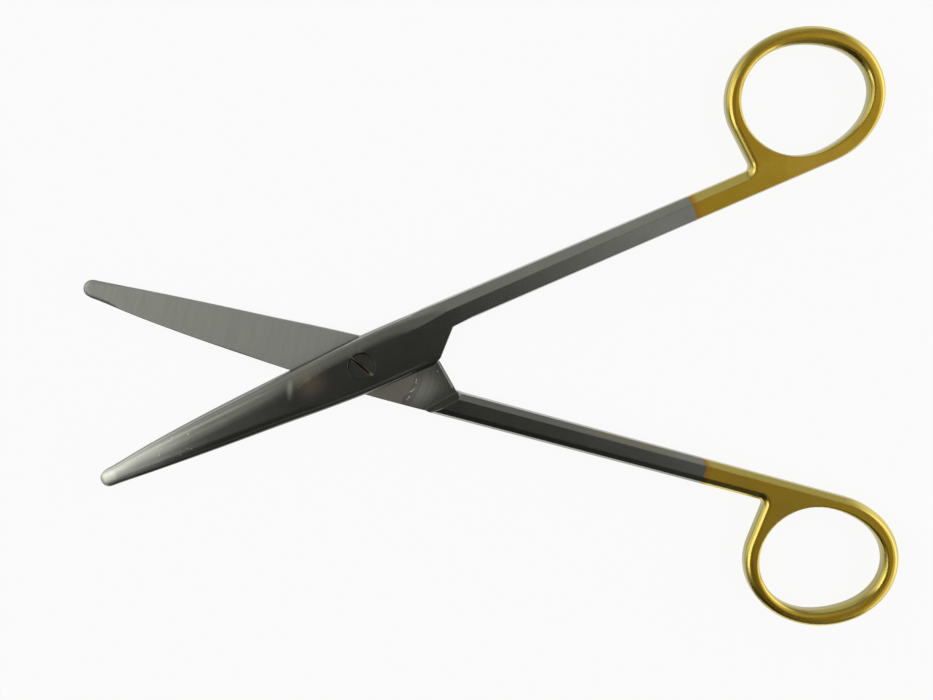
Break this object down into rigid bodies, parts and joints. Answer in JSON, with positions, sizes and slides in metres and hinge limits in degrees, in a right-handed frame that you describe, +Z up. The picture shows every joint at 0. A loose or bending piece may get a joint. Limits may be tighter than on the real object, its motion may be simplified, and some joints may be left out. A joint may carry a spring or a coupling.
{
  "type": "dissecting scissors",
  "caption": "Straight dissecting scissors, blunt bevelled blades, slender shanks, gold-plated oval finger rings, countersunk slotted pivot screw, shown part open.",
  "frame": {"origin": "on the pivot axis, at the flat outer face of the rear half that rests on the table", "axes": "+Z up along the pivot axis towards the screw head, +X towards the finger rings halfway between the two shanks, blade tips at -X"},
  "size_m": [0.1568, 0.1192, 0.005],
  "materials": {
    "steel_front": "satin; the ring and the last 13 mm of the shank are plated yellow gold",
    "steel_rear": "satin, the inner face of the blade finely ground; ring and end of the shank plated yellow gold",
    "screw_steel": "satin"
  },
  "bodies": {
    "rear": {"rear_half": "steel_rear", "pivot_screw": "screw_steel"},
    "front": {"front_half": "steel_front"}
  },
  "joints": [
    {"name": "pivot", "type": "hinge", "parent": "rear", "child": "front", "pos_m": [0, 0, 0.0025], "axis": [0, 0, 1], "range_deg": [-39, 100]}
  ]
}
